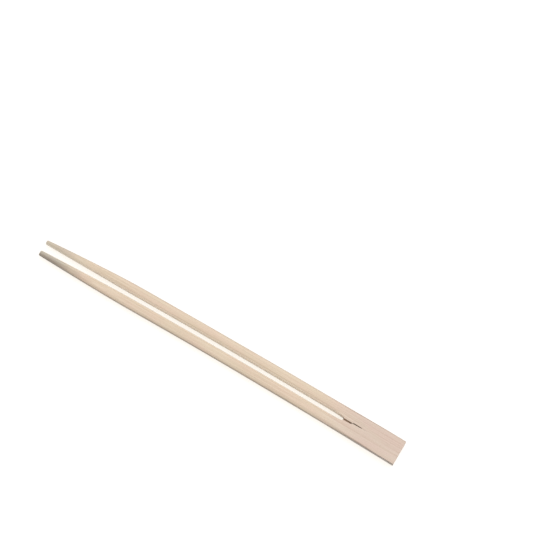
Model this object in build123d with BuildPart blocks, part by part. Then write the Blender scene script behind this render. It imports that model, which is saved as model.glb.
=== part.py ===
from build123d import *
import os

# Disposable bamboo chopsticks, sawn and milled from one flat slat and still joined at the head.
# X runs along the grain from the tips to the head, Y across the pair and Z up.
# The pair lies flat, and its middle stands over the origin.

# Driving dimensions of the slat, in millimetres
length = 203.0
thickness = 4.8
head_width = 13.0
head_length = 32.0
bow = 1.05
bow_share_to_centre = 0.38
edge_break = 0.12
head_edge_round = 0.35
tip_end_round = 0.3

# Each stick grows from its tip to a body of even width, then slowly on to its root in the head
taper_length = 50.0
taper_ease = 1.4
body_end = 100.0
tip_thickness = 2.6
corner_share = 0.4

# Its outer edge and its slot's edge, measured across from the middle line
near_tip_edge = 4.52
far_tip_edge = 4.2
body_edge = 6.235
tip_gap = 3.7
body_gap = 1.95
root_gap = 1.8
slot_offset = 0.13

# The milled rounding runs out into the square head, sooner on the slot's side
outer_run_out_start = 164.5
outer_run_out_end = 192.0
inner_run_out_length = 6.0

# The split that runs on from the slot's end into the head
first_crack_length = 4.8
first_crack_width = 0.8
bridge_length = 0.55
bridge_depth = 1.5
second_crack_length = 4.5
second_crack_width = 0.46
crack_tail_length = 3.1
crack_tail_width = 0.1
first_crack_offset = 0.18
second_crack_offset = 0.66

slot_end = length - head_length
inner_run_out_start = slot_end - inner_run_out_length

# The sections that the wood is shaped through stand close in the taper and far apart in the body
taper_spans = 8
body_spans = 5
body_length = inner_run_out_start - taper_length
taper_stations = [taper_length * i / taper_spans for i in range(taper_spans)]
body_stations = [taper_length + body_length * i / body_spans for i in range(body_spans + 1)]
stick_stations = taper_stations + body_stations + [slot_end]
head_stations = [slot_end, outer_run_out_end, length]


def ramp(x, start, end):
    """Rises evenly from 0 at start to 1 at end."""
    return min(max((x - start) / (end - start), 0), 1)


def along_stick(x, tip, body, root):
    """A size of a stick at x from the tips: quick growth that eases off, then a slow one."""
    eased = 1 - (1 - ramp(x, 0, taper_length)) ** taper_ease
    return tip + (body - tip) * eased + (root - body) * ramp(x, body_end, slot_end)


def middle_line(x):
    """Where the bowed pair's middle lies across, at x from the tips."""
    share = x / length
    return bow * (4 * share * (1 - share) - bow_share_to_centre)


def corner_radius(height):
    """The full rounding of a milled edge."""
    return corner_share * height


def outer_radius(x, height):
    """The rounding of the pair's outer edges, which runs out on the head."""
    left = 1 - ramp(x, outer_run_out_start, outer_run_out_end)
    return head_edge_round + (corner_radius(height) - head_edge_round) * left


def inner_radius(x, height):
    """The rounding of the edges beside the slot, which is gone at the slot's end."""
    left = 1 - ramp(x, inner_run_out_start, slot_end)
    return edge_break + (corner_radius(height) - edge_break) * left


def section(x, centre, width, height, low_radius, high_radius):
    """A rounded box across the grain, with its own rounding on the low and the high Y side."""
    with BuildSketch(Plane.YZ.offset(x - length / 2)) as outline:
        with Locations((centre, thickness / 2)):
            Rectangle(width, height)
        fillet(outline.vertices().sort_by(Axis.X)[:2], low_radius)
        fillet(outline.vertices().sort_by(Axis.X)[-2:], high_radius)
    return outline.sketch


def stick_section(x, side, tip_edge):
    """A stick's section; side is -1 for the near stick and 1 for the far one."""
    height = along_stick(x, tip_thickness, thickness, thickness)
    outer = side * along_stick(x, tip_edge, body_edge, head_width / 2)
    inner = side * along_stick(x, tip_gap, body_gap, root_gap) / 2 + slot_offset
    centre = middle_line(x) + (outer + inner) / 2
    radii = [inner_radius(x, height), outer_radius(x, height)]
    return section(x, centre, abs(outer - inner), height, *radii[::side])


def head_section(x):
    """The section of the head that joins the sticks."""
    radius = outer_radius(x, thickness)
    return section(x, middle_line(x), head_width, thickness, radius, radius)


def crack_point(x, across):
    """A point of the crack's outline, from its place along and off the middle line."""
    return (x - length / 2, middle_line(x) + across)


def slit(*places):
    """The corners of a slit along the grain, from its (x, offset, width) places."""
    low_side = [crack_point(x, offset - width / 2) for x, offset, width in places]
    high_side = [crack_point(x, offset + width / 2) for x, offset, width in reversed(places)]
    return low_side + high_side


first_crack_end = slot_end + first_crack_length
second_crack_start = first_crack_end + bridge_length
second_crack_end = second_crack_start + second_crack_length
tail_end = second_crack_end + crack_tail_length

first_crack = slit(
    (slot_end - edge_break, first_crack_offset, first_crack_width),
    (first_crack_end, first_crack_offset, first_crack_width),
)
second_crack = slit(
    (second_crack_start, second_crack_offset, second_crack_width),
    (second_crack_end, second_crack_offset, second_crack_width),
    (tail_end, second_crack_offset, crack_tail_width),
)
under_bridge = slit(
    (first_crack_end, second_crack_offset, second_crack_width),
    (second_crack_start, second_crack_offset, second_crack_width),
)

with BuildPart() as chopstick_pair:
    loft([stick_section(x, -1, near_tip_edge) for x in stick_stations], ruled=True)
    loft([stick_section(x, 1, far_tip_edge) for x in stick_stations], ruled=True)
    loft([head_section(x) for x in head_stations], ruled=True)

    # The blunt tips have their ends rounded over
    fillet(faces().group_by(Axis.X)[0].edges(), tip_end_round)

    # The crack goes right through the head
    with BuildSketch():
        for corners in (first_crack, second_crack):
            with BuildLine():
                Polyline(*corners, close=True)
            make_face()
    extrude(amount=thickness, mode=Mode.SUBTRACT)

    # It also passes under a bridge of unbroken fibre at the top face
    with BuildSketch():
        with BuildLine():
            Polyline(*under_bridge, close=True)
        make_face()
    extrude(amount=thickness - bridge_depth, mode=Mode.SUBTRACT)

chopstick_pair.part.label = "chopstick_pair"

os.makedirs("parts", exist_ok=True)
export_step(chopstick_pair.part, "parts/chopstick_pair.step")
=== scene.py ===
"""Disposable bamboo chopsticks, still joined at the head, lying flat on a white table.

Sizes are millimetres where a class doesn't say otherwise: X runs along the grain, Y across the
pair and Z up. They turn to metres only where a point goes into a mesh.
"""

from __future__ import annotations

import logging
import math
from collections.abc import Callable
from dataclasses import dataclass, field
from enum import Enum, IntEnum

import bmesh
import bpy
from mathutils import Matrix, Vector, noise


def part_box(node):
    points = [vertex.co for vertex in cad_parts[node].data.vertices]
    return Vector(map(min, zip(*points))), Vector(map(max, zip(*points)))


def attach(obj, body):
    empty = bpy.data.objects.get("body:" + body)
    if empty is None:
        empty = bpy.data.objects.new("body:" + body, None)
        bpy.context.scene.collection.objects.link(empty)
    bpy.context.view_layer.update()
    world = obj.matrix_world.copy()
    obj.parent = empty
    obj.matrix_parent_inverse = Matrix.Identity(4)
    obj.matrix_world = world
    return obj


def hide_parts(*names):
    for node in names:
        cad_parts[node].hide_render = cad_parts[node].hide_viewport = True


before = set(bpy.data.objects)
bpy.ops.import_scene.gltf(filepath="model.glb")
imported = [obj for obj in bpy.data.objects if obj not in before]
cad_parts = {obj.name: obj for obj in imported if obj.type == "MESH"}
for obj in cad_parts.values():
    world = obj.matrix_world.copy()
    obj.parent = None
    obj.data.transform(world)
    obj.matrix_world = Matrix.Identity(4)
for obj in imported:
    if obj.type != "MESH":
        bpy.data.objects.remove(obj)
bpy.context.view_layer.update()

MM = 0.001
NODE = "chopstick_pair"
BODY = "root"
Colour = tuple[float, float, float, float]

log = logging.getLogger("chopsticks")


class Side(IntEnum):
    """Which stick of the pair: the near one lies on the low Y side."""

    NEAR = -1
    FAR = 1


class Ray(Enum):
    """The kinds of ray that see the white surroundings instead of their light."""

    CAMERA = "Is Camera Ray"
    GLOSSY = "Is Glossy Ray"
    TRANSMISSION = "Is Transmission Ray"


def ramp(value: float, start: float, end: float) -> float:
    """Rises evenly from 0 at start to 1 at end."""
    return min(max((value - start) / (end - start), 0.0), 1.0)


def smooth_ramp(value: float, start: float, end: float) -> float:
    """Rises from 0 at start to 1 at end, easing in and out."""
    share = ramp(value, start, end)
    return share * share * (3.0 - 2.0 * share)


def mix(low: float, high: float, share: float) -> float:
    """The value at a share of the way from low to high."""
    return low + (high - low) * share


@dataclass(frozen=True)
class RingSteps:
    """How many points the ring round a stick has on each stretch.

    The ring starts at the middle of the upper face and runs over the outer side first.
    """

    outer: int = 11
    inner: int = 8
    wall: int = 6
    corner_pull: float = 0.8
    wall_turn: float = math.pi / 4
    full_turn: float = math.pi / 2

    @property
    def count(self) -> int:
        """All the points of one ring."""
        return 2 * (self.outer + self.inner) + self.wall

    @property
    def wall_middle(self) -> int:
        """The point half-way down the wall beside the slot."""
        return self.count - self.inner - self.wall // 2

    @property
    def wall_corners(self) -> set[int]:
        """The two points where the broad faces meet that wall."""
        return {self.count - self.inner, 2 * self.outer + self.inner}

    def lift(self, index: int) -> tuple[int, int]:
        """Turns a point of the lower half into its mirror image in the upper half.

        Args:
            index: the point's number on the ring.

        Returns:
            The number of the point in the upper half, and 1 above or -1 below the middle.
        """
        if index <= self.outer or index >= self.wall_middle:
            return index, 1
        return (2 * self.outer - index) % self.count, -1

    def over_corner(
        self, half_width: float, half_height: float, radius: float, turn: float, share: float
    ) -> tuple[float, float]:
        """Walks from the middle of a broad face out and over its rounded corner.

        Corners draw more points than flats, so that a small rounding keeps its form.

        Args:
            half_width: half of the face's width.
            half_height: half of the section's height.
            radius: the corner's rounding.
            turn: how far round the corner the walk goes, a quarter turn or less.
            share: the share of the walk.

        Returns:
            How far across from the face's middle, and how far up from the section's middle.
        """
        flat = half_width - radius
        corner = (radius + self.corner_pull) * turn if radius else 0.0
        side = half_height - radius if turn == self.full_turn else 0.0
        walked = share * (flat + corner + side)
        if walked <= flat:
            return walked, half_height
        if walked < flat + corner:
            angle = turn * (walked - flat) / corner
            return flat + radius * math.sin(angle), half_height - radius * (1 - math.cos(angle))
        reach = flat + radius * math.sin(turn)
        return reach, half_height - radius * (1 - math.cos(turn)) - (walked - flat - corner)


STEPS = RingSteps()


@dataclass(frozen=True)
class Section:
    """The outline of one stick, or of one half of the head, across the grain.

    Its inner wall leans from its low place to its top place between two heights above the middle.
    """

    inner_top: float
    inner_low: float
    outer: float
    half_height: float
    inner_radius: float
    outer_radius: float
    lean_low: float = 0.3
    lean_high: float = 1.3

    def place(self, index: int) -> tuple[float, float]:
        """Finds a point of the ring.

        Args:
            index: the point's number on the ring.

        Returns:
            Its place across the pair, and its height above the middle of the wood.
        """
        upper, up = STEPS.lift(index)
        inner = self.inner_top if up > 0 else self.inner_low
        middle = (self.outer + inner) / 2
        half_width = abs(self.outer - inner) / 2
        outward = math.copysign(1.0, self.outer - inner)
        if upper <= STEPS.outer:
            share = upper / STEPS.outer
            across, height = STEPS.over_corner(
                half_width, self.half_height, self.outer_radius, STEPS.full_turn, share
            )
            return middle + outward * across, up * height
        share = min((STEPS.count - upper) / STEPS.inner, 1.0)
        across, height = STEPS.over_corner(
            half_width, self.half_height, self.inner_radius, STEPS.wall_turn, share
        )
        if upper > STEPS.count - STEPS.inner - 1:
            return middle - outward * across, up * height
        height *= up * (upper - STEPS.wall_middle) / (STEPS.wall // 2)
        above = max(abs(height) - self.half_height + self.inner_radius, 0.0)
        slack = self.inner_radius - math.sqrt(self.inner_radius**2 - above**2)
        lean = smooth_ramp(height, self.lean_low, self.lean_high)
        wall = mix(self.inner_low, self.inner_top, lean)
        return wall + outward * slack, height


@dataclass(frozen=True)
class CrackPlace:
    """The split at one place along the grain: off the middle line, and how wide it gapes."""

    x: float
    offset: float
    top_width: float
    low_width: float


@dataclass(frozen=True)
class PairForm:
    """The form of the pair, from its tips at 0 to the sawn end of the head."""

    length: float
    thickness: float
    head_width: float = 13.0
    head_length: float = 32.0
    bow: float = 1.05
    bow_share_to_centre: float = 0.38
    edge_break: float = 0.12
    head_edge_round: float = 0.35
    tip_end_round: float = 0.3
    taper_length: float = 50.0
    taper_ease: float = 1.4
    body_end: float = 100.0
    tip_thickness: float = 2.6
    corner_share: float = 0.4
    near_tip_edge: float = 4.52
    far_tip_edge: float = 4.2
    body_edge: float = 6.235
    tip_gap: float = 3.7
    body_gap: float = 1.95
    root_gap: float = 1.8
    slot_offset: float = 0.13
    outer_run_out_start: float = 164.5
    outer_run_out_end: float = 192.0
    inner_run_out_length: float = 6.0
    first_crack_length: float = 4.8
    first_crack_width: float = 0.8
    bridge_length: float = 0.55
    bridge_pinch: float = 0.06
    crack_end_length: float = 0.2
    crack_closing_length: float = 0.6
    second_crack_length: float = 4.5
    second_crack_width: float = 0.46
    crack_close_width: float = 0.36
    tail_width: float = 0.07
    crack_tail_length: float = 3.1
    first_crack_offset: float = 0.18
    second_crack_offset: float = 0.66
    crack_edge_break: float = 0.02
    closing_round: float = 0.25

    @property
    def slot_end(self) -> float:
        """Where the slot stops and the head begins."""
        return self.length - self.head_length

    @property
    def tail_end(self) -> float:
        """Where the split has run out into sound wood."""
        split = self.first_crack_length + self.bridge_length + self.second_crack_length
        return self.slot_end + split + self.crack_tail_length

    def crack_course(self) -> list[CrackPlace]:
        """Traces the split from the slot's end to its own tail.

        Returns:
            The places that it runs through, in order.
        """
        start, wide, narrow = self.slot_end, self.first_crack_width, self.second_crack_width
        bridge = start + self.first_crack_length
        second = bridge + self.bridge_length
        end = second + self.second_crack_length
        early, late, pinch = self.first_crack_offset, self.second_crack_offset, self.bridge_pinch
        ease, close = self.crack_end_length, self.crack_close_width
        between = (early + late) / 2
        return [
            CrackPlace(start, early, wide, wide),
            CrackPlace(bridge - ease, early, wide, wide),
            CrackPlace(bridge + ease / 2, between, pinch, narrow),
            CrackPlace(second - ease / 2, between, pinch, narrow),
            CrackPlace(second + ease, late, narrow, narrow),
            CrackPlace(end - self.crack_closing_length, late, close, close),
            CrackPlace(end + ease, late, self.tail_width, self.tail_width),
            CrackPlace(self.tail_end, late, 0.0, 0.0),
        ]

    def crack_at(self, x: float) -> CrackPlace:
        """The split at any place along the head; past its tail it is closed.

        Args:
            x: distance from the tips.

        Returns:
            The split's offset and widths there.
        """
        course = self.crack_course()
        for before, after in zip(course, course[1:]):
            if x < after.x:
                share = ramp(x, before.x, after.x)
                return CrackPlace(
                    x,
                    mix(before.offset, after.offset, share),
                    mix(before.top_width, after.top_width, share),
                    mix(before.low_width, after.low_width, share),
                )
        return course[-1]

    def along_stick(self, x: float, tip: float, body: float, root: float) -> float:
        """A size of a stick: quick growth from the tip that eases off, then a slow one.

        Args:
            x: distance from the tips.
            tip: the size at the tip.
            body: the size of the even body.
            root: the size at the head.

        Returns:
            The size at x.
        """
        eased = 1 - (1 - ramp(x, 0, self.taper_length)) ** self.taper_ease
        return tip + (body - tip) * eased + (root - body) * ramp(x, self.body_end, self.slot_end)

    def middle_line(self, x: float) -> float:
        """Where the bowed pair's middle lies across, at x from the tips."""
        share = x / self.length
        return self.bow * (4 * share * (1 - share) - self.bow_share_to_centre)

    def outer_radius(self, x: float, height: float) -> float:
        """The rounding of the outer edges, which runs out on the head."""
        left = 1 - ramp(x, self.outer_run_out_start, self.outer_run_out_end)
        return mix(self.head_edge_round, self.corner_share * height, left)

    def inner_radius(self, x: float, height: float) -> float:
        """The rounding beside the slot, which is gone at the slot's end."""
        left = 1 - ramp(x, self.slot_end - self.inner_run_out_length, self.slot_end)
        return mix(self.edge_break, self.corner_share * height, left)

    def drawn_in(self, radius: float, inset: float) -> float:
        """A ring's rounding once it is drawn in, which still holds its points apart."""
        return max(radius - inset, self.closing_round) if inset else radius

    def stick_section(self, x: float, side: Side, inset: float) -> Section:
        """The outline of a stick before the slot ends.

        Args:
            x: distance from the tips.
            side: which stick.
            inset: how far the outline is drawn in, for rounded and closed ends.

        Returns:
            The outline across the grain.
        """
        tip_edge = self.near_tip_edge if side is Side.NEAR else self.far_tip_edge
        height = self.along_stick(x, self.tip_thickness, self.thickness, self.thickness)
        edge = self.along_stick(x, tip_edge, self.body_edge, self.head_width / 2)
        half_gap = self.along_stick(x, self.tip_gap, self.body_gap, self.root_gap) / 2
        outer = self.middle_line(x) + side * (edge - inset)
        inner = self.middle_line(x) + self.slot_offset + side * (half_gap + inset)
        return Section(
            inner,
            inner,
            outer,
            height / 2 - inset,
            self.drawn_in(self.inner_radius(x, height), inset),
            self.drawn_in(self.outer_radius(x, height), inset),
        )

    def head_section(self, x: float, side: Side, inset: float) -> Section:
        """The outline of one half of the head, from the split to the outside.

        Args:
            x: distance from the tips.
            side: which half.
            inset: how far the outline is drawn in, on all sides but the split's.

        Returns:
            The outline across the grain.
        """
        crack = self.crack_at(x)
        line = self.middle_line(x) + crack.offset
        return Section(
            line + side * crack.top_width / 2,
            line + side * crack.low_width / 2,
            self.middle_line(x) + side * (self.head_width / 2 - inset),
            self.thickness / 2 - inset,
            self.crack_edge_break if x < self.tail_end else 0.0,
            self.drawn_in(self.outer_radius(x, self.thickness), inset),
        )

    def in_grain(self, point: Vector) -> Vector:
        """A point of the row frame in the grain's own millimetres, which follow the bow."""
        x = point.x / MM + self.length / 2
        return Vector((x, point.y / MM - self.middle_line(x), point.z / MM))

    def point(self, x: float, side: Side, index: int, inset: float = 0.0) -> Vector:
        """A point of the wood's surface in the row frame, in metres.

        Args:
            x: distance from the tips.
            side: which stick or half of the head.
            index: the point's number on the ring.
            inset: how far the ring is drawn in.

        Returns:
            The point.
        """
        cut = self.stick_section if x <= self.slot_end else self.head_section
        across, height = cut(x, side, inset).place(index)
        return Vector((x - self.length / 2, across, self.thickness / 2 + height)) * MM


@dataclass(frozen=True)
class Station:
    """One ring of the skin: how far from the tips, and how far it is drawn in."""

    x: float
    inset: float = 0.0


def spread(start: float, end: float, spans: int) -> list[Station]:
    """Evenly spaced stations after start, up to and with end."""
    return [Station(mix(start, end, (span + 1) / spans)) for span in range(spans)]


class Bench:
    """The hand tools that every piece is modelled with."""

    # the slot-wall mark carries painted light and the outer-side mark carries painted shade
    MARKS = ("torn", "sawn", "painted_slot_light", "shaded_rim")

    @staticmethod
    def clear() -> None:
        """Leaves nothing selected, so that an operator acts only on what comes next."""
        if bpy.context.object and bpy.context.object.mode != "OBJECT":
            bpy.ops.object.mode_set(mode="OBJECT")
        bpy.ops.object.select_all(action="DESELECT")

    @staticmethod
    def pick(piece: bpy.types.Object, *others: bpy.types.Object) -> None:
        """Selects pieces alone, the first one active.

        Args:
            piece: the piece that becomes active.
            others: what is selected with it.
        """
        Bench.clear()
        for each in (piece, *others):
            each.select_set(True)
        bpy.context.view_layer.objects.active = piece

    @staticmethod
    def start_ring(name: str, count: int, flank: int = 0) -> bpy.types.Object:
        """Adds a numbered ring of points round the X axis and opens it in edit mode.

        Args:
            name: the new piece's name.
            count: how many points.
            flank: a mark that all of its points carry.

        Returns:
            The piece, with its one ring selected.
        """
        Bench.clear()
        bpy.ops.mesh.primitive_circle_add(vertices=count, radius=MM, rotation=(0, math.pi / 2, 0))
        ring = bpy.context.object
        ring.name = name
        bpy.ops.object.transform_apply(location=True, rotation=True, scale=True)
        bpy.ops.object.mode_set(mode="EDIT")
        bpy.ops.mesh.select_mode(type="EDGE")
        bpy.ops.mesh.select_all(action="SELECT")
        mesh = bmesh.from_edit_mesh(ring.data)
        around = mesh.verts.layers.int.new("around")
        side = mesh.verts.layers.int.new("flank")
        for number, point in enumerate(mesh.verts):
            point[around] = number
            point[side] = flank
        bmesh.update_edit_mesh(ring.data)
        return ring

    @staticmethod
    def set_ring(piece: bpy.types.Object, place: Callable[[int, int], Vector]) -> None:
        """Puts each selected point where its number and its flank belong.

        Args:
            piece: the piece in edit mode.
            place: gives a point's place from its number and its flank.
        """
        mesh = bmesh.from_edit_mesh(piece.data)
        around = mesh.verts.layers.int["around"]
        side = mesh.verts.layers.int["flank"]
        for point in mesh.verts:
            if point.select:
                point.co = place(point[around], point[side])
        bmesh.update_edit_mesh(piece.data)

    @staticmethod
    def grow_ring(piece: bpy.types.Object, place: Callable[[int, int], Vector]) -> None:
        """Extrudes the selected ring and puts the new one in its place."""
        bpy.ops.mesh.extrude_edges_move(TRANSFORM_OT_translate={"value": (MM, 0, 0)})
        Bench.set_ring(piece, place)

    @staticmethod
    def close_ring() -> None:
        """Fills the selected ring with faces that meet in its middle."""
        bpy.ops.mesh.edge_face_add()
        bpy.ops.mesh.poke()

    @staticmethod
    def select_open_edges(piece: bpy.types.Object, low: float, high: float) -> None:
        """Selects the open edges between two places along X.

        Args:
            piece: the piece in edit mode.
            low: the lower place, in metres.
            high: the higher place, in metres.
        """
        bpy.ops.mesh.select_all(action="DESELECT")
        mesh = bmesh.from_edit_mesh(piece.data)
        for edge in mesh.edges:
            inside = all(low < point.co.x < high for point in edge.verts)
            if edge.is_boundary and inside:
                edge.select_set(True)
        bmesh.update_edit_mesh(piece.data)

    @staticmethod
    def round_off(piece: bpy.types.Object, levels: int) -> None:
        """Subdivides the skin smoothly and applies it.

        Args:
            piece: the piece.
            levels: how many times each face is divided.
        """
        Bench.pick(piece)
        bpy.ops.object.modifier_add(type="SUBSURF")
        smooth = piece.modifiers[-1]
        smooth.levels = levels
        smooth.render_levels = levels
        bpy.ops.object.modifier_apply(modifier=smooth.name)

    @staticmethod
    def face_out(piece: bpy.types.Object) -> None:
        """Turns all faces outwards.

        Args:
            piece: the closed piece.
        """
        Bench.pick(piece)
        bpy.ops.object.mode_set(mode="EDIT")
        bpy.ops.mesh.select_all(action="SELECT")
        bpy.ops.mesh.normals_make_consistent(inside=False)
        bpy.ops.object.mode_set(mode="OBJECT")

    @staticmethod
    def add_marks(piece: bpy.types.Object) -> tuple[bpy.types.bpy_prop_collection, ...]:
        """Adds the marks that the finish reads.

        Args:
            piece: the piece that gets them.

        Returns:
            The values of grain and of each of MARKS, one for each point.
        """
        marks = piece.data.attributes
        marks.new("grain", "FLOAT_VECTOR", "POINT")
        for name in Bench.MARKS:
            marks.new(name, "FLOAT", "POINT")
        return tuple(marks[name].data for name in ("grain", *Bench.MARKS))

    @staticmethod
    def drop_marks(piece: bpy.types.Object) -> None:
        """Takes off the marks that only the modelling needed.

        Args:
            piece: the finished skin.
        """
        for name in ("around", "flank"):
            mark = piece.data.attributes.get(name)
            if mark:
                piece.data.attributes.remove(mark)

    @staticmethod
    def dress(
        piece: bpy.types.Object, name: str, finish: bpy.types.Material, smooth_angle: float
    ) -> None:
        """Names a modelled piece, smooths its shading and gives it its finish.

        Args:
            piece: the piece.
            name: its name.
            finish: its material.
            smooth_angle: the bend, in degrees, from which an edge stays sharp.
        """
        Bench.pick(piece)
        piece.name = name
        piece.data.name = name
        bpy.ops.object.shade_smooth_by_angle(angle=math.radians(smooth_angle))
        piece.data.materials.append(finish)


@dataclass(frozen=True)
class WoodRelief:
    """How far the milled and torn surfaces stand off the ideal form.

    A length is how far each unevenness runs along the grain, and a width how far across it.
    """

    ridge_height: float = 0.028
    ridge_length: float = 45.0
    ridge_width: float = 0.5
    fine_height: float = 0.01
    fine_length: float = 14.0
    fine_width: float = 0.22
    wave_height: float = 0.04
    wave_length: float = 26.0
    wave_width: float = 5.0
    nick_depth: float = 0.1
    nick_length: float = 2.2
    nick_start: float = 0.18
    nick_facing: tuple[float, float] = (0.25, 0.5)
    tear_height: float = 0.13
    tear_length: float = 1.1
    tear_width: float = 0.32
    saw_height: float = 0.03
    saw_pitch: float = 0.45
    saw_length: float = 4.0
    skin_depth: float = 0.035

    @staticmethod
    def wander(at: Vector, length: float, width: float) -> float:
        """A smooth random value that is drawn out along the grain."""
        return noise.noise(Vector((at.x / length, at.y / width, at.z / width)))

    def lift(self, at: Vector, facing: Vector, torn: float, sawn: float) -> float:
        """How far a point of the surface moves out.

        Args:
            at: the point in the grain's own millimetres.
            facing: the way that the surface looks there.
            torn: 1 on the walls of the split and 0 away from them.
            sawn: 1 on the faces cut across the grain.

        Returns:
            The move along the normal, in millimetres.
        """
        ridges = self.ridge_height * self.wander(at, self.ridge_length, self.ridge_width)
        fine = self.fine_height * self.wander(at, self.fine_length, self.fine_width)
        waves = self.wave_height * self.wander(at, self.wave_length, self.wave_width)
        edge = smooth_ramp(abs(facing.y * facing.z), *self.nick_facing)
        nick = max(noise.noise(Vector((at.x / self.nick_length, at.y, at.z))) - self.nick_start, 0)
        tear = self.tear_height * self.wander(at, self.tear_length, self.tear_width)
        cut = Vector((at.y / self.saw_length, at.z / self.saw_pitch, at.x))
        saw = self.saw_height * noise.noise(cut)
        milled = ridges + fine + waves - self.nick_depth * edge * nick
        return milled * (1 - sawn) + tear * torn + saw * sawn - self.skin_depth * (1 - torn)


@dataclass
class ChopstickPair:
    """The whole pair as one skin: two sticks, the joined head and the split between them.

    Each slope, facing, run-in and rim holds the two values between which a mark grows or fades.
    """

    form: PairForm
    finish: bpy.types.Material
    relief: WoodRelief = field(default_factory=WoodRelief)
    smooth_levels: int = 2
    weld: float = 0.002
    tip_closing_insets: tuple[float, ...] = (0.8, 0.6, 0.45)
    tip_start: float = 1.2
    tip_reach: float = 10.0
    tip_spans: int = 3
    taper_spans: int = 7
    body_stop: float = 146.0
    body_spans: int = 11
    root_stop: float = 169.0
    root_spans: int = 5
    slot_close: float = 0.75
    slot_corner: float = 0.15
    first_crack_spans: int = 5
    second_crack_spans: int = 5
    tail_spans: int = 3
    head_stop: float = 202.2
    head_spans: int = 8
    end_break: float = 0.1
    end_bulge_share: float = 0.3
    flat_end: float = 0.004
    head_closing_insets: tuple[float, ...] = (0.3, 0.7, 1.2, 1.6)
    split_crease: float = 0.95
    torn_reach: float = 0.32
    torn_slope: tuple[float, float] = (0.6, 0.95)
    torn_run_in: tuple[float, float] = (-0.1, 0.3)
    sawn_reach: float = 1.0
    sawn_facing: tuple[float, float] = (0.6, 0.9)
    slotted_margin: float = 1.0
    slotted_facing: tuple[float, float] = (0.4, 1.0)
    stick_rim: tuple[float, float] = (0.75, 1.0)
    head_rim: tuple[float, float] = (0.25, 0.75)
    stick_rim_share: float = 0.85
    smooth_angle: float = 40.0

    def tip_stations(self) -> list[Station]:
        """Lists the rings of a blunt tip.

        Returns:
            The rings, from the tip's closed end to its full section.
        """
        rounding = self.form.tip_end_round
        closing = [Station(0.0, inset) for inset in self.tip_closing_insets]
        turns = (0.0, math.pi / 4, math.pi / 2)
        over = [Station(rounding * (1 - math.cos(t)), rounding * (1 - math.sin(t))) for t in turns]
        return closing + over

    def stick_stations(self) -> list[Station]:
        """Lists the rings of a stick and of its half of the split.

        Returns:
            The rings, from the tip to the split's tail.
        """
        form = self.form
        corner = self.slot_corner
        bridge = form.slot_end + form.first_crack_length
        ease = form.crack_end_length
        second = bridge + form.bridge_length
        closing = second + form.second_crack_length - form.crack_closing_length
        return [
            *self.tip_stations(),
            Station(self.tip_start),
            *spread(self.tip_start, self.tip_reach, self.tip_spans),
            *spread(self.tip_reach, form.taper_length, self.taper_spans),
            *spread(form.taper_length, self.body_stop, self.body_spans),
            *spread(self.body_stop, self.root_stop, self.root_spans),
            Station(form.slot_end - self.slot_close),
            Station(form.slot_end - corner),
            Station(form.slot_end + corner),
            *spread(form.slot_end + corner, bridge - ease, self.first_crack_spans),
            Station(bridge + ease / 2),
            Station(second - ease / 2),
            Station(second + ease),
            *spread(second + ease, closing, self.second_crack_spans),
            *spread(closing, form.tail_end, self.tail_spans),
        ]

    def head_stations(self) -> list[Station]:
        """Lists the rings of the head.

        Returns:
            The rings, from the split's tail to the closed sawn end.
        """
        form = self.form
        bulge = self.end_bulge_share * self.end_break
        return [
            *spread(form.tail_end, self.head_stop, self.head_spans),
            Station(form.length - self.end_break),
            Station(form.length - bulge, bulge),
            Station(form.length, self.end_break),
            *[Station(form.length, inset) for inset in self.head_closing_insets],
        ]

    def crease_split(self, pair: bpy.types.Object) -> None:
        """Keeps the mouth of the split sharp on both broad faces when the skin is rounded off.

        Args:
            pair: the closed skin of the whole pair.
        """
        corners = STEPS.wall_corners
        start = (self.form.slot_end - self.form.length / 2) * MM
        Bench.pick(pair)
        bpy.ops.object.mode_set(mode="EDIT")
        bpy.ops.mesh.select_all(action="DESELECT")
        mesh = bmesh.from_edit_mesh(pair.data)
        around = mesh.verts.layers.int["around"]
        tail = (self.form.tail_end - self.form.length / 2) * MM + self.weld * MM
        for edge in mesh.edges:
            if all(p[around] in corners and start < p.co.x < tail for p in edge.verts):
                edge.select_set(True)
        bmesh.update_edit_mesh(pair.data)
        bpy.ops.transform.edge_crease(value=self.split_crease)
        bpy.ops.object.mode_set(mode="OBJECT")

    def placer(self, station: Station) -> Callable[[int, int], Vector]:
        """What puts each point of a ring at this station."""
        x, inset = station.x, station.inset
        return lambda index, flank: self.form.point(x, Side(flank), index, inset)

    def build_stick(self, side: Side) -> bpy.types.Object:
        """Grows one stick ring by ring from its tip to the split's tail.

        Args:
            side: which stick.

        Returns:
            The stick's skin, closed at the tip and open at the tail.
        """
        stick = Bench.start_ring(f"stick_{side.name.lower()}", STEPS.count, side)
        stations = self.stick_stations()
        Bench.set_ring(stick, self.placer(stations[0]))
        for station in stations[1:]:
            Bench.grow_ring(stick, self.placer(station))
        reach = (stations[0].x - self.form.length / 2) * MM
        Bench.select_open_edges(stick, reach - MM, reach + MM)
        Bench.close_ring()
        bpy.ops.object.mode_set(mode="OBJECT")
        return stick

    def join_head(self, near: bpy.types.Object, far: bpy.types.Object) -> bpy.types.Object:
        """Joins the two sticks at the split's tail and grows the head from there.

        Args:
            near: the near stick's skin.
            far: the far stick's skin.

        Returns:
            The closed skin of the whole pair.
        """
        Bench.pick(near, far)
        bpy.ops.object.join()
        bpy.ops.object.mode_set(mode="EDIT")
        bpy.ops.mesh.select_all(action="SELECT")
        bpy.ops.mesh.remove_doubles(threshold=self.weld * MM)
        tail = (self.form.tail_end - self.form.length / 2) * MM
        Bench.select_open_edges(near, tail - MM, tail + MM)
        for station in self.head_stations():
            Bench.grow_ring(near, self.placer(station))
        Bench.close_ring()
        bpy.ops.object.mode_set(mode="OBJECT")
        return near

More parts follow.
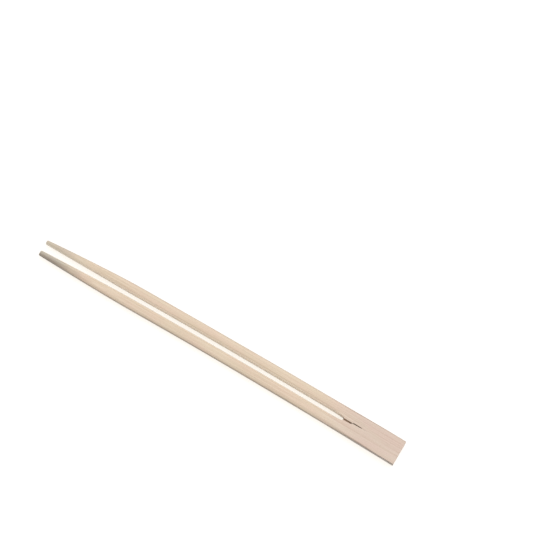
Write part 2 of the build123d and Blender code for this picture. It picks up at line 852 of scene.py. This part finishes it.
    def torn_at(self, at: Vector, facing: Vector) -> float:
        """How far a point belongs to the walls of the split.

        Args:
            at: the point in the grain's own millimetres.
            facing: the way that the surface looks there.

        Returns:
            The share, from 0 to 1.
        """
        form = self.form
        if not form.slot_end - self.slot_corner < at.x < form.tail_end + self.slot_corner:
            return 0.0
        crack = form.crack_at(at.x)
        away = abs(at.y - crack.offset) - max(crack.top_width, crack.low_width) / 2
        beside = 1 - smooth_ramp(away, 0.0, self.torn_reach)
        upright = 1 - smooth_ramp(abs(facing.z), *self.torn_slope)
        return beside * upright * smooth_ramp(at.x - form.slot_end, *self.torn_run_in)

    def sawn_at(self, at: Vector, facing: Vector) -> float:
        """How far a point belongs to a face cut across the grain, from 0 to 1."""
        inside = self.sawn_reach <= at.x <= self.form.length - self.sawn_reach
        return 0.0 if inside else smooth_ramp(abs(facing.x), *self.sawn_facing)

    def painted_slot_light_at(self, at: Vector, facing: Vector) -> float:
        """How far a point belongs to a wall of the slot, which gets painted light.

        Args:
            at: the point in the grain's own millimetres.
            facing: the way that the surface looks there.

        Returns:
            The share, from 0 to 1.
        """
        reach = self.form.tip_gap / 2 + self.slotted_margin
        if at.x > self.form.slot_end or abs(at.y) > reach:
            return 0.0
        towards = -facing.y * math.copysign(1.0, at.y - self.form.slot_offset)
        return smooth_ramp(towards, *self.slotted_facing)

    def shaded_rim_at(self, at: Vector, facing: Vector) -> float:
        """How far a point belongs to the outer sides, where shade is painted into the colour.

        Args:
            at: the point in the grain's own millimetres.
            facing: the way that the surface looks there.

        Returns:
            The share, from 0 to 1.
        """
        outwards = facing.y * math.copysign(1.0, at.y)
        on_stick = smooth_ramp(outwards, *self.stick_rim) * self.stick_rim_share
        on_head = smooth_ramp(outwards, *self.head_rim)
        head = ramp(at.x, self.form.outer_run_out_start, self.form.outer_run_out_end)
        return mix(on_stick, on_head, head)

    def facing_at(self, at: Vector, normal: Vector) -> Vector:
        """The way the surface looks, which on both flat ends is straight along the grain.

        Args:
            at: the point in the grain's own millimetres.
            normal: the mesh's own normal there.

        Returns:
            The direction, of unit length.
        """
        if at.x > self.form.length - self.flat_end:
            return Vector((1, 0, 0))
        return Vector((-1, 0, 0)) if at.x < self.flat_end else normal

    def roughen(self, pair: bpy.types.Object) -> None:
        """Raises the grain on the skin and marks each point for the finish.

        Args:
            pair: the smooth skin of the whole pair.
        """
        mesh = pair.data
        grain, torn_mark, sawn_mark, painted_slot_light_mark, shaded_rim_mark = Bench.add_marks(pair)
        normals = [Vector(each.vector) for each in mesh.vertex_normals]
        for number, vertex in enumerate(mesh.vertices):
            at = self.form.in_grain(vertex.co)
            facing = self.facing_at(at, normals[number])
            torn = self.torn_at(at, facing)
            sawn = self.sawn_at(at, facing)
            grain[number].vector = at
            torn_mark[number].value = torn
            sawn_mark[number].value = sawn
            painted_slot_light_mark[number].value = self.painted_slot_light_at(at, facing)
            shaded_rim_mark[number].value = self.shaded_rim_at(at, facing)
            vertex.co += facing * (self.relief.lift(at, facing, torn, sawn) * MM)
        mesh.update()

    def build(self) -> bpy.types.Object:
        """Models the pair and dresses it.

        Returns:
            The finished piece, which stands for the plain solid.
        """
        near = self.build_stick(Side.NEAR)
        far = self.build_stick(Side.FAR)
        pair = self.join_head(near, far)
        Bench.face_out(pair)
        self.crease_split(pair)
        Bench.round_off(pair, self.smooth_levels)
        Bench.drop_marks(pair)
        self.roughen(pair)
        Bench.dress(pair, "bamboo_pair", self.finish, self.smooth_angle)
        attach(pair, BODY)
        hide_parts(NODE)
        return pair


@dataclass(frozen=True)
class GrainPattern:
    """A random pattern in the wood: how long its cells are, how wide, and how finely broken."""

    run: float
    gap: float
    detail: float = 2.0
    roughness: float = 0.5


class NodeSheet:
    """The shader nodes of one material or world, laid and joined in order."""

    # The Mix node's colour sockets come after those for numbers and vectors
    MIX_SHARE, MIX_LOW, MIX_HIGH, MIX_RESULT = 0, 6, 7, 2

    def __init__(self, tree: bpy.types.NodeTree) -> None:
        """Starts from an empty tree.

        Args:
            tree: the node tree to fill.
        """
        self.tree = tree
        tree.nodes.clear()

    def lay(
        self, kind: str, inputs: dict[str | int, object] | None = None, **settings: object
    ) -> bpy.types.Node:
        """Adds a node, sets its properties and gives its inputs their values.

        Args:
            kind: the node's type name.
            inputs: a socket to link or a plain value, by the input's name or number.
            settings: properties of the node, by name.

        Returns:
            The node.
        """
        node = self.tree.nodes.new(kind)
        for name, value in settings.items():
            setattr(node, name, value)
        for name, value in (inputs or {}).items():
            if isinstance(value, bpy.types.NodeSocket):
                self.tree.links.new(value, node.inputs[name])
            else:
                node.inputs[name].default_value = value
        return node

    def attribute(self, name: str, output: str) -> bpy.types.NodeSocket:
        """Reads one of the mesh's own marks."""
        return self.lay("ShaderNodeAttribute", attribute_name=name).outputs[output]

    def parts(self, vector: bpy.types.NodeSocket) -> list[bpy.types.NodeSocket]:
        """The three parts of a vector."""
        return list(self.lay("ShaderNodeSeparateXYZ", {0: vector}).outputs)

    def sum(self, operation: str, *values: object) -> bpy.types.NodeSocket:
        """One step of arithmetic on sockets or numbers."""
        return self.lay("ShaderNodeMath", dict(enumerate(values)), operation=operation).outputs[0]

    def rise(
        self, value: object, start: float, end: float, low: float = 0.0, high: float = 1.0
    ) -> bpy.types.NodeSocket:
        """Maps start to low and end to high, smoothly, and holds them beyond.

        Args:
            value: the socket that is mapped.
            start: the value that gives low.
            end: the value that gives high.
            low: the result at start.
            high: the result at end.

        Returns:
            The result's socket.
        """
        inputs = dict(enumerate((value, start, end, low, high)))
        return self.lay("ShaderNodeMapRange", inputs, interpolation_type="SMOOTHSTEP").outputs[0]

    def blend(
        self, share: object, low: object, high: object, kind: str = "MIX"
    ) -> bpy.types.NodeSocket:
        """Mixes two colours.

        Args:
            share: how much of the second colour.
            low: the first colour.
            high: the second colour.
            kind: the Mix node's blend type.

        Returns:
            The result's socket.
        """
        inputs = {self.MIX_SHARE: share, self.MIX_LOW: low, self.MIX_HIGH: high}
        node = self.lay("ShaderNodeMix", inputs, data_type="RGBA", blend_type=kind)
        return node.outputs[self.MIX_RESULT]

    def tinted(self, colour: object, *layers: tuple[object, Colour]) -> bpy.types.NodeSocket:
        """Darkens a colour by one tint after the other.

        Args:
            colour: the colour's socket.
            layers: how strong each tint is, and the tint itself.

        Returns:
            The result's socket.
        """
        for share, tint in layers:
            colour = self.blend(share, colour, tint, "MULTIPLY")
        return colour

    def drawn_out(self, grain: bpy.types.NodeSocket, pattern: GrainPattern) -> bpy.types.NodeSocket:
        """The grain's vector, scaled so that a pattern's cells get their length and width."""
        inputs = {"Vector": grain, "Scale": (1 / pattern.run, 1 / pattern.gap, 1 / pattern.gap)}
        return self.lay("ShaderNodeMapping", inputs, vector_type="POINT").outputs[0]

    def cloud(self, grain: bpy.types.NodeSocket, pattern: GrainPattern) -> bpy.types.Node:
        """Lays soft random values that are drawn out along the grain.

        Args:
            grain: the grain's vector, in millimetres.
            pattern: the size of the cells and how finely they break up.

        Returns:
            The node, whose first output is the values.
        """
        inputs = {
            "Vector": self.drawn_out(grain, pattern),
            "Scale": 1.0,
            "Detail": pattern.detail,
            "Roughness": pattern.roughness,
        }
        return self.lay("ShaderNodeTexNoise", inputs, noise_dimensions="3D")

    def cells(
        self, vector: bpy.types.NodeSocket, dimensions: str, scale: float = 1.0
    ) -> bpy.types.Node:
        """Lays cells round points that are scattered at random.

        Args:
            vector: where the pattern is read.
            dimensions: how many of the vector's parts count, as the node names it.
            scale: how many cells go to a millimetre.

        Returns:
            The node.
        """
        inputs = {"Vector": vector, "Scale": scale}
        kinds = {"feature": "F1", "voronoi_dimensions": dimensions}
        return self.lay("ShaderNodeTexVoronoi", inputs, **kinds)


@dataclass(frozen=True)
class BambooFinish:
    """Raw milled bamboo: pale ground tissue with long fibre bundles, which end as dots.

    Each rise and side holds where a pattern's share starts and ends, and then the results there
    where they aren't 0 and 1.
    """

    name: str = "bamboo"
    pale: Colour = (0.778, 0.641, 0.482, 1.0)
    warm: Colour = (0.787, 0.613, 0.474, 1.0)
    head_tint: Colour = (0.925, 0.912, 1.0, 1.0)
    bundle_tint: Colour = (0.74, 0.65, 0.53, 1.0)
    fibre_tint: Colour = (0.9, 0.87, 0.83, 1.0)
    fleck_tint: Colour = (0.6, 0.47, 0.34, 1.0)
    tip_tint: Colour = (0.77, 0.83, 0.85, 1.0)
    near_tip_tint: Colour = (0.87, 0.89, 0.93, 1.0)
    # painted shade: darkens the near tip's outer side, where the raised tip is in shade
    tip_shade_tint: Colour = (0.64, 0.61, 0.59, 1.0)
    # partly the torn fibres' own brown, partly painted shade inside the split and on its strands
    torn_fibre_and_shade_tint: Colour = (0.56, 0.46, 0.36, 1.0)
    sawn_tint: Colour = (0.88, 0.84, 0.78, 1.0)
    # painted shade: darkens the outer sides of the sticks and the head
    rim_shade_tint: Colour = (0.42, 0.395, 0.355, 1.0)
    # painted light: a lighter colour on the slot walls, in place of light reaching into the narrow
    # gap
    painted_slot_light: Colour = (0.95, 0.85, 0.71, 1.0)
    painted_slot_light_share: float = 0.7
    tone_pattern: GrainPattern = GrainPattern(14.0, 3.0, 3.0)
    tone_rise: tuple[float, float] = (0.3, 0.7)
    sway_pattern: GrainPattern = GrainPattern(60.0, 7.0, 1.0)
    sway: float = 1.1
    bundle_gap: float = 0.58
    bundle_edge: float = 0.4
    bundle_core: float = 0.14
    bundle_share: float = 0.38
    sawn_bundle_share: float = 0.57
    patch_pattern: GrainPattern = GrainPattern(24.0, 1.1)
    patch_rise: tuple[float, float, float, float] = (0.3, 0.65, 0.5, 0.8)
    fibre_pattern: GrainPattern = GrainPattern(26.0, 0.13, 4.0, 0.6)
    fibre_rise: tuple[float, float] = (0.36, 0.66)
    fleck_pattern: GrainPattern = GrainPattern(8.0, 0.85)
    fleck_half_size: float = 0.1
    fleck_share: float = 0.12
    blotch_pattern: GrainPattern = GrainPattern(5.0, 1.6)
    blotch_reach: float = 10.0
    tip_start: float = 6.0
    tip_reach: float = 27.0
    near_side: tuple[float, float] = (0.5, -0.5)
    tip_shade_reach: float = 36.0
    tip_shade_side: tuple[float, float] = (-2.5, -4.1)
    head_start: float = 150.0
    head_end: float = 185.0
    roughness_rise: tuple[float, float, float, float] = (0.3, 0.7, 0.42, 0.6)
    gloss: float = 0.75
    sheen: float = 0.45
    sheen_roughness: float = 0.4
    chatter_scale: float = 0.286
    chatter_distortion: float = 2.0
    chatter_relief: float = 0.12
    bundle_relief: float = 0.4
    bump_height: float = 0.00009

    def swayed(self, sheet: NodeSheet, grain: bpy.types.NodeSocket) -> bpy.types.NodeSocket:
        """The grain's vector with a slow wander, so that no bundle runs dead straight.

        Args:
            sheet: the material's nodes.
            grain: the grain's vector, in millimetres.

        Returns:
            The wandering vector's socket.
        """
        slow = sheet.cloud(grain, self.sway_pattern)
        inputs = {0: slow.outputs["Color"], 1: (self.sway,) * 3, 2: grain}
        return sheet.lay("ShaderNodeVectorMath", inputs, operation="MULTIPLY_ADD").outputs[0]

    def bundles(self, sheet: NodeSheet, grain: bpy.types.NodeSocket) -> bpy.types.NodeSocket:
        """The fibre bundles: 1 in the heart of each and 0 between them.

        Args:
            sheet: the material's nodes.
            grain: the grain's vector, in millimetres.

        Returns:
            The pattern's socket.
        """
        _along, across, up = sheet.parts(self.swayed(sheet, grain))
        face = sheet.lay("ShaderNodeCombineXYZ", {0: across, 1: up}).outputs[0]
        cells = sheet.cells(face, "2D", 1 / self.bundle_gap)
        hearts = sheet.rise(cells.outputs["Distance"], self.bundle_edge, self.bundle_core)
        patches = sheet.cloud(grain, self.patch_pattern).outputs[0]
        return sheet.sum("MULTIPLY", hearts, sheet.rise(patches, *self.patch_rise))

    def flecks(self, sheet: NodeSheet, grain: bpy.types.NodeSocket) -> bpy.types.NodeSocket:
        """Short dark dashes that lie here and there along the grain.

        Args:
            sheet: the material's nodes.
            grain: the grain's vector, in millimetres.

        Returns:
            The pattern's socket.
        """
        cells = sheet.cells(sheet.drawn_out(grain, self.fleck_pattern), "3D")
        half = self.fleck_half_size
        dash = sheet.rise(cells.outputs["Distance"], half, half / 2)
        chosen = sheet.sum("LESS_THAN", cells.outputs["Color"], self.fleck_share)
        return sheet.sum("MULTIPLY", dash, chosen)

    def tip_tone(
        self, sheet: NodeSheet, colour: object, grain: bpy.types.NodeSocket
    ) -> bpy.types.NodeSocket:
        """Greys both tips, the near one more, and paints shade along the near tip's outer side.

        Args:
            sheet: the material's nodes.
            colour: the wood's colour so far.
            grain: the grain's vector, in millimetres.

        Returns:
            The toned colour's socket.
        """
        along, across, _up = sheet.parts(grain)
        blotches = sheet.cloud(grain, self.blotch_pattern).outputs[0]
        centred = sheet.sum("SUBTRACT", along, self.blotch_reach / 2)
        ragged = sheet.sum("MULTIPLY_ADD", blotches, self.blotch_reach, centred)
        at_tip = sheet.rise(ragged, self.tip_start, self.tip_reach, 1.0, 0.0)
        near = sheet.sum("MULTIPLY", at_tip, sheet.rise(across, *self.near_side))
        # painted shade along the near tip's outer side
        tip_shaded = sheet.rise(ragged, self.tip_start, self.tip_shade_reach, 1.0, 0.0)
        low = sheet.sum("MULTIPLY", tip_shaded, sheet.rise(across, *self.tip_shade_side))
        tones = ((at_tip, self.tip_tint), (near, self.near_tip_tint), (low, self.tip_shade_tint))
        return sheet.tinted(colour, *tones)

    def material(self) -> bpy.types.Material:
        """Makes the finish.

        Returns:
            The material, which reads the mark grain and each of Bench.MARKS of its mesh.
        """
        made = bpy.data.materials.new(self.name)
        made.use_nodes = True
        sheet = NodeSheet(made.node_tree)
        grain = sheet.attribute("grain", "Vector")
        torn, sawn, painted_slot_light, shaded_rim = (sheet.attribute(name, "Fac") for name in Bench.MARKS)
        bundles = self.bundles(sheet, grain)
        fibres = sheet.cloud(grain, self.fibre_pattern).outputs[0]
        tone = sheet.cloud(grain, self.tone_pattern).outputs[0]

        at_head = sheet.rise(sheet.parts(grain)[0], self.head_start, self.head_end)
        bundle_share = sheet.sum("MULTIPLY_ADD", sawn, self.sawn_bundle_share, self.bundle_share)
        colour = sheet.tinted(
            sheet.blend(sheet.rise(tone, *self.tone_rise), self.pale, self.warm),
            (at_head, self.head_tint),
            (sheet.sum("MULTIPLY", bundles, bundle_share), self.bundle_tint),
            (sheet.rise(fibres, *self.fibre_rise), self.fibre_tint),
            (self.flecks(sheet, grain), self.fleck_tint),
        )
        colour = self.tip_tone(sheet, colour, grain)
        # The rim tint is painted shade on the outer sides; the torn tint is partly painted shade in
        # the split.
        marks = ((sawn, self.sawn_tint), (torn, self.torn_fibre_and_shade_tint), (shaded_rim, self.rim_shade_tint))
        colour = sheet.tinted(colour, *marks)
        # painted light: the slot walls are lightened towards a pale colour
        slot_light_amount = sheet.sum("MULTIPLY", painted_slot_light, self.painted_slot_light_share)
        colour = sheet.blend(slot_light_amount, colour, self.painted_slot_light)

        waves = {
            "Vector": grain,
            "Scale": self.chatter_scale,
            "Distortion": self.chatter_distortion,
        }
        chatter = sheet.lay("ShaderNodeTexWave", waves, wave_type="BANDS", bands_direction="X")
        relief = sheet.sum("MULTIPLY_ADD", bundles, self.bundle_relief, fibres)
        relief = sheet.sum("MULTIPLY_ADD", chatter.outputs["Fac"], self.chatter_relief, relief)
        bump = sheet.lay("ShaderNodeBump", {"Height": relief, "Distance": self.bump_height})
        surface = {
            "Base Color": colour,
            "Roughness": sheet.rise(fibres, *self.roughness_rise),
            "Normal": bump.outputs[0],
            "Specular IOR Level": self.gloss,
            "Sheen Weight": self.sheen,
            "Sheen Roughness": self.sheen_roughness,
        }
        wood = sheet.lay("ShaderNodeBsdfPrincipled", surface)
        sheet.lay("ShaderNodeOutputMaterial", {"Surface": wood.outputs[0]})
        return made


@dataclass(frozen=True)
class StrandPlace:
    """Where a torn strand lies in the split: its ends along, across and below the top face."""

    start: tuple[float, float, float]
    end: tuple[float, float, float]
    radius: float


@dataclass
class TornStrands:
    """The strands of fibre that still cross the split under the top face."""

    form: PairForm
    finish: bpy.types.Material
    count_round: int = 8
    sections: int = 7
    end_share: float = 0.35
    sideways: float = 0.05
    start_reach: tuple[float, float] = (-1.0, 0.5)
    # the strands take the torn tint in full, which is partly painted shade
    torn_share: float = 1.0
    smooth_angle: float = 50.0
    places: tuple[StrandPlace, ...] = (
        StrandPlace((-0.1, -0.27, 1.05), (5.2, -0.2, 0.95), 0.21),
        StrandPlace((0.0, 0.0, 0.95), (5.3, 0.05, 1.05), 0.21),
        StrandPlace((-0.1, 0.27, 1.0), (5.1, 0.2, 0.95), 0.21),
        StrandPlace((0.5, -0.4, 0.8), (3.4, 0.1, 0.9), 0.07),
        StrandPlace((2.2, 0.4, 0.75), (5.0, 0.0, 0.85), 0.06),
        StrandPlace((5.0, -0.12, 0.9), (10.0, -0.05, 0.85), 0.16),
        StrandPlace((5.1, 0.12, 0.85), (10.2, 0.05, 0.9), 0.16),
        StrandPlace((6.8, 0.22, 0.65), (9.6, -0.05, 0.75), 0.05),
    )

    def strand_point(self, share: float, index: int) -> Vector:
        """A point of a strand of unit size, thick in the middle and frayed thin at its ends.

        Args:
            share: how far along the strand.
            index: the point's number on the ring.

        Returns:
            The point.
        """
        radius = mix(self.end_share, 1.0, math.sin(math.pi * share))
        sway = self.sideways * math.sin(2 * math.pi * share)
        turn = 2 * math.pi * index / self.count_round
        return Vector((share, sway + radius * math.cos(turn), radius * math.sin(turn)))

    def placer(self, share: float) -> Callable[[int, int], Vector]:
        """What puts each point of the ring at a share of the strand's length."""
        return lambda index, _flank: self.strand_point(share, index)

    def model_strand(self) -> bpy.types.Object:
        """Models one strand of unit length and radius.

        Returns:
            The strand, closed at both ends.
        """
        strand = Bench.start_ring("strand", self.count_round)
        Bench.set_ring(strand, self.placer(0.0))
        for section in range(1, self.sections + 1):
            Bench.grow_ring(strand, self.placer(section / self.sections))
        Bench.close_ring()
        Bench.select_open_edges(strand, *self.start_reach)
        Bench.close_ring()
        bpy.ops.object.mode_set(mode="OBJECT")
        Bench.face_out(strand)
        Bench.drop_marks(strand)
        return strand

    def world_point(self, place: tuple[float, float, float]) -> Vector:
        """Turns a place in the split to the row frame.

        Args:
            place: distance past the slot's end, off the split's line, and below the top.

        Returns:
            The point in metres.
        """
        past, off, below = place
        x = self.form.slot_end + past
        line = self.form.middle_line(x) + self.form.crack_at(x).offset
        return Vector((x - self.form.length / 2, line + off, self.form.thickness - below)) * MM

    def lay_strand(self, model: bpy.types.Object, place: StrandPlace) -> bpy.types.Object:
        """Copies the strand and lays it between its two ends.

        Args:
            model: the strand of unit size.
            place: where it goes.

        Returns:
            The copy, with its place in its own mesh.
        """
        Bench.pick(model)
        bpy.ops.object.duplicate(linked=False)
        copy = bpy.context.object
        start, end = self.world_point(place.start), self.world_point(place.end)
        run = end - start
        copy.rotation_mode = "QUATERNION"
        copy.rotation_quaternion = run.to_track_quat("X", "Z")
        copy.location = start
        copy.scale = (run.length, place.radius * MM, place.radius * MM)
        bpy.ops.object.transform_apply(location=True, rotation=True, scale=True)
        return copy

    def mark(self, strands: bpy.types.Object) -> None:
        """Marks each point for the finish, which the strands share with the wood.

        Args:
            strands: all the strands as one piece.
        """
        grain, torn, *_others = Bench.add_marks(strands)
        for number, vertex in enumerate(strands.data.vertices):
            grain[number].vector = self.form.in_grain(vertex.co)
            torn[number].value = self.torn_share

    def build(self) -> bpy.types.Object:
        """Models and lays all the strands as one piece.

        Returns:
            The finished piece.
        """
        model = self.model_strand()
        copies = [self.lay_strand(model, place) for place in self.places]
        Bench.pick(model)
        bpy.ops.object.delete()
        Bench.pick(*copies)
        bpy.ops.object.join()
        strands = copies[0]
        self.mark(strands)
        Bench.dress(strands, "torn_strands", self.finish, self.smooth_angle)
        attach(strands, BODY)
        return strands


@dataclass(frozen=True)
class Studio:
    """A white table in soft light from behind and above the pair, with its sizes in metres."""

    floor_width: float = 6.0
    floor_colour: Colour = (0.7, 0.69, 0.67, 1.0)
    shadow_colour: Colour = (0.3, 0.33, 0.42, 1.0)
    glow_colour: Colour = (0.84, 0.78, 0.68, 1.0)
    white: Colour = (1.0, 1.0, 1.0, 1.0)
    sky_strength: float = 0.7
    sun_strength: float = 1.1
    sun_height: float = 1.0
    sun_elevation: float = 60.0
    sun_azimuth: float = 72.0
    sun_spread: float = 60.0

    @staticmethod
    def sees_white(sheet: NodeSheet) -> bpy.types.NodeSocket:
        """A value of 1 for the rays that see the surroundings as plain white.

        Args:
            sheet: the nodes it is added to.

        Returns:
            The value's socket.
        """
        path = sheet.lay("ShaderNodeLightPath")
        seen, *others = (path.outputs[ray.value] for ray in Ray)
        for other in others:
            seen = sheet.sum("MAXIMUM", seen, other)
        return seen

    def floor_finish(self) -> bpy.types.Material:
        """Makes white paper that keeps a faint shadow of the pair.

        Returns:
            The material.
        """
        made = bpy.data.materials.new("white_table")
        made.use_nodes = True
        sheet = NodeSheet(made.node_tree)
        seen = self.sees_white(sheet)
        colour = sheet.blend(seen, self.floor_colour, self.shadow_colour)
        paper = sheet.lay("ShaderNodeBsdfDiffuse", {"Color": colour})
        glow = sheet.lay("ShaderNodeEmission", {"Color": self.glow_colour, "Strength": seen})
        both = sheet.lay("ShaderNodeAddShader", {0: paper.outputs[0], 1: glow.outputs[0]})
        sheet.lay("ShaderNodeOutputMaterial", {"Surface": both.outputs[0]})
        return made

    def lay_floor(self) -> bpy.types.Object:
        """Lays the table that the pair rests on.

        Returns:
            The table's top.
        """
        Bench.clear()
        bpy.ops.mesh.primitive_plane_add(size=self.floor_width)
        floor = bpy.context.object
        floor.name = "table_top"
        floor.data.materials.append(self.floor_finish())
        return floor

    def light_sky(self) -> None:
        """Gives even light from all round, and white to the rays that look past the table."""
        world = bpy.data.worlds.new("soft_room")
        bpy.context.scene.world = world
        world.use_nodes = True
        sheet = NodeSheet(world.node_tree)
        seen = self.sees_white(sheet)
        strength = sheet.sum("MULTIPLY_ADD", seen, 1 - self.sky_strength, self.sky_strength)
        sky = sheet.lay("ShaderNodeBackground", {"Color": self.white, "Strength": strength})
        sheet.lay("ShaderNodeOutputWorld", {"Surface": sky.outputs[0]})

    def hang_lamp(self) -> bpy.types.Object:
        """Hangs the broad lamp behind and above the pair.

        Returns:
            The lamp.
        """
        place = (0, 0, self.sun_height)
        turn = (math.radians(90 - self.sun_elevation), 0, math.radians(self.sun_azimuth + 90))
        bpy.ops.object.light_add(type="SUN", location=place, rotation=turn)
        lamp = bpy.context.object
        lamp.name = "soft_lamp"
        lamp.data.energy = self.sun_strength
        lamp.data.angle = math.radians(self.sun_spread)
        return lamp

    def build(self) -> None:
        """Sets up the table and the light."""
        self.lay_floor()
        self.light_sky()
        self.hang_lamp()


@dataclass(frozen=True)
class PhotoView:
    """The camera, looking steeply down at the pair, which runs down to the right.

    Both clip distances are metres.
    """

    azimuth: float = 30.592
    elevation: float = 75.5
    distance: float = 1101.24
    aim: tuple[float, float, float] = (-0.78, 47.24, 2.4)
    lens: float = 150.0
    sensor: float = 36.0
    near_clip: float = 0.01
    far_clip: float = 100.0

    def build(self) -> bpy.types.Object:
        """Places the camera and makes it the scene's own.

        Returns:
            The camera.
        """
        turn, rise = math.radians(self.azimuth), math.radians(self.elevation)
        level = math.cos(rise)
        back = Vector((math.sin(turn) * level, -math.cos(turn) * level, math.sin(rise)))
        Bench.clear()
        bpy.ops.object.camera_add(location=(Vector(self.aim) + back * self.distance) * MM)
        camera = bpy.context.object
        camera.name = "photo_camera"
        camera.rotation_mode = "QUATERNION"
        camera.rotation_quaternion = (-back).to_track_quat("-Z", "Y")
        camera.data.sensor_width = self.sensor
        camera.data.lens = self.lens
        camera.data.clip_start = self.near_clip
        camera.data.clip_end = self.far_clip
        bpy.context.scene.camera = camera
        return camera


def report(piece: bpy.types.Object) -> None:
    """Logs a piece's name and how many faces it has."""
    log.info("%s: %d faces", piece.name, len(piece.data.polygons))


def read_form() -> PairForm:
    """Takes the pair's length and thickness from the solid in the frame."""
    low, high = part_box(NODE)
    return PairForm(length=(high.x - low.x) / MM, thickness=(high.z - low.z) / MM)


def main() -> None:
    """Builds the pair, its torn strands, the table with its light, and the camera."""
    logging.basicConfig(level=logging.INFO, format="%(name)s: %(message)s")
    form = read_form()
    bamboo = BambooFinish().material()
    report(ChopstickPair(form, bamboo).build())
    report(TornStrands(form, bamboo).build())
    Studio().build()
    PhotoView().build()
    bpy.context.scene.view_settings.view_transform = "Standard"


if __name__ == "__main__":
    main()
